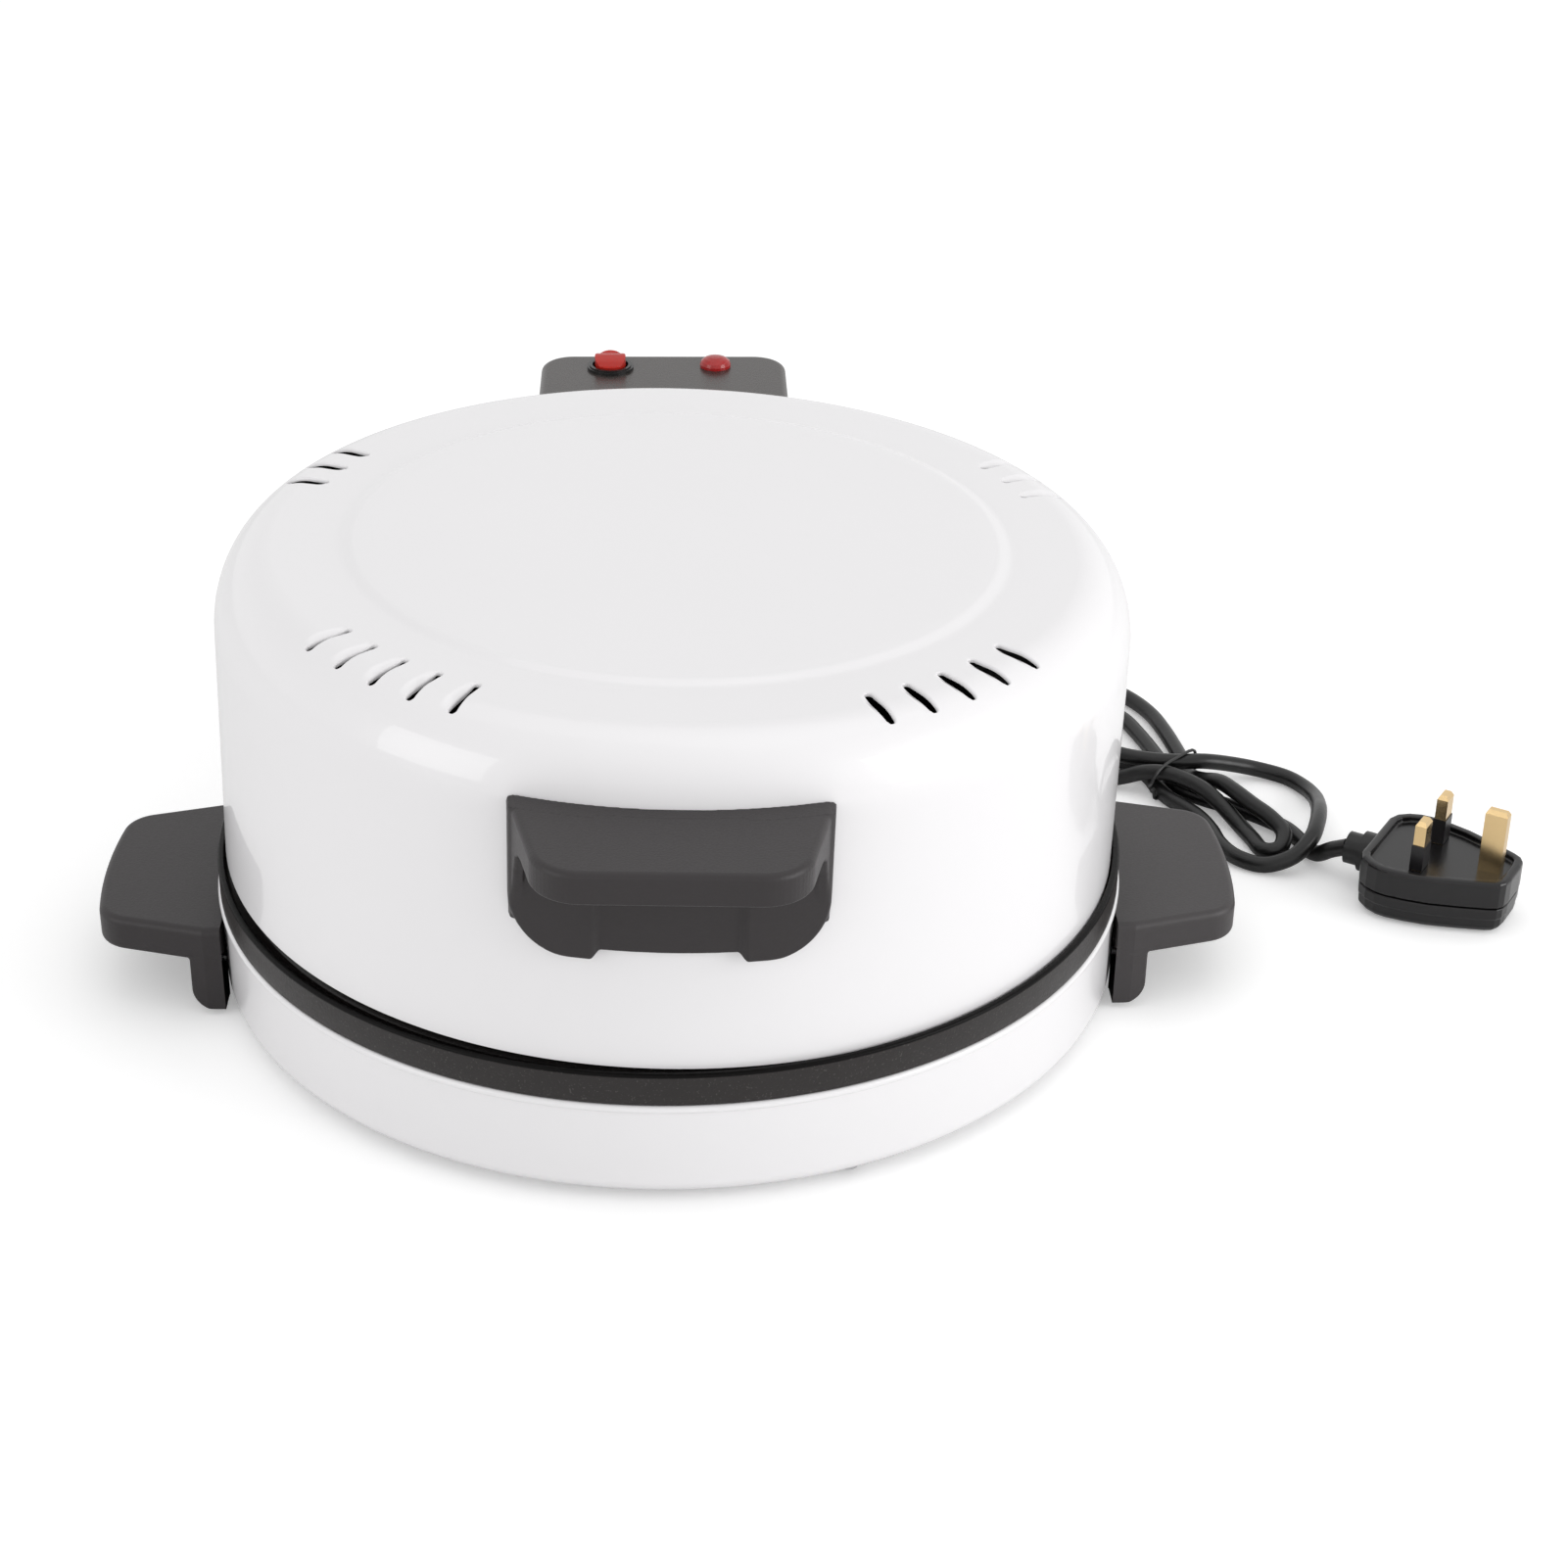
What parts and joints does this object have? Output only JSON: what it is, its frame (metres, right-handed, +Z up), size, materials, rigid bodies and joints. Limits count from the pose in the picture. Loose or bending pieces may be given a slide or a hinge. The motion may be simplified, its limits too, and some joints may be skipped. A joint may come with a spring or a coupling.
{
  "type": "appliance.roti_maker",
  "caption": "Electric roti maker: round base pan with a rimmed baking plate, domed hinged lid with vent slots, plastic handles, rear switch housing and a tied mains lead with plug",
  "frame": {"origin": "middle of the underside of the rubber feet's plane, under the middle of the part's outline without the lead", "axes": "+X to the right seen from the front handle, +Y to the rear hinge, +Z up"},
  "size_m": [0.487, 0.384, 0.1558],
  "materials": {
    "pan_enamel": "gloss",
    "cover_steel": "satin",
    "foot_rubber": "matte",
    "screw_steel": "satin",
    "plate_nonstick": "satin speckled non-stick",
    "element_sheath": "heat darkened",
    "clip_steel": "satin",
    "reflector_aluminium": "satin",
    "phenolic_black": "matte",
    "ceramic_white": "matte",
    "handle_plastic": "fine grain matte",
    "hinge_steel": "satin",
    "cord_pvc": "satin",
    "tie_plastic": "matte",
    "plug_plastic": "gloss",
    "plug_brass": "polished",
    "sleeve_plastic": "satin",
    "lid_enamel": "gloss",
    "housing_plastic": "satin",
    "switch_plastic": "satin",
    "lamp_red": "translucent",
    "lamp_body": "matte",
    "rocker_red": "translucent"
  },
  "bodies": {
    "base": {"base_pan": "pan_enamel", "bottom_cover": "cover_steel", "foot_front_left": "foot_rubber", "foot_front_right": "foot_rubber", "foot_rear_left": "foot_rubber", "foot_rear_right": "foot_rubber", "cover_screws": "screw_steel", "baking_plate": "plate_nonstick", "lower_element": "element_sheath", "lower_element_clips": "clip_steel", "lower_reflector": "reflector_aluminium", "thermostat": "phenolic_black", "thermal_fuse": "clip_steel", "base_terminal_block": "ceramic_white", "side_handle_left": "handle_plastic", "side_handle_right": "handle_plastic", "side_handle_screws": "screw_steel", "hinge_bracket": "hinge_steel", "hinge_bracket_screws": "screw_steel", "hinge_pin": "hinge_steel", "hinge_pin_clips": "clip_steel", "strain_relief": "cord_pvc", "cord_lead": "cord_pvc", "cord_hank": "cord_pvc", "cord_tail": "cord_pvc", "cord_tie": "tie_plastic", "plug_base": "plug_plastic", "plug_cover": "plug_plastic", "plug_earth_pin": "plug_brass", "plug_live_pin": "plug_brass", "plug_neutral_pin": "plug_brass", "plug_pin_sleeves": "sleeve_plastic", "plug_screws": "plug_brass", "plug_cord_grip": "cord_pvc"},
    "lid": {"lid_shell": "lid_enamel", "lid_reflector": "reflector_aluminium", "upper_element": "element_sheath", "upper_element_clips": "clip_steel", "front_handle": "handle_plastic", "front_handle_screws": "screw_steel", "control_housing": "housing_plastic", "housing_screws": "screw_steel", "hinge_leaf": "hinge_steel", "hinge_leaf_screws": "screw_steel", "switch_body": "switch_plastic", "switch_terminals": "plug_brass", "pilot_lamp_lens": "lamp_red", "pilot_lamp_body": "lamp_body"},
    "rocker": {"switch_rocker": "rocker_red"}
  },
  "joints": [
    {"name": "lid_hinge", "type": "hinge", "parent": "base", "child": "lid", "pos_m": [0, 0.1555, 0.049], "axis": [-1, 0, 0], "range_deg": [0, 93]},
    {"name": "switch_rocker_tilt", "type": "hinge", "parent": "lid", "child": "rocker", "pos_m": [-0.022, 0.178, 0.1381], "axis": [-1, 0, 0], "range_deg": [0, 32]}
  ]
}
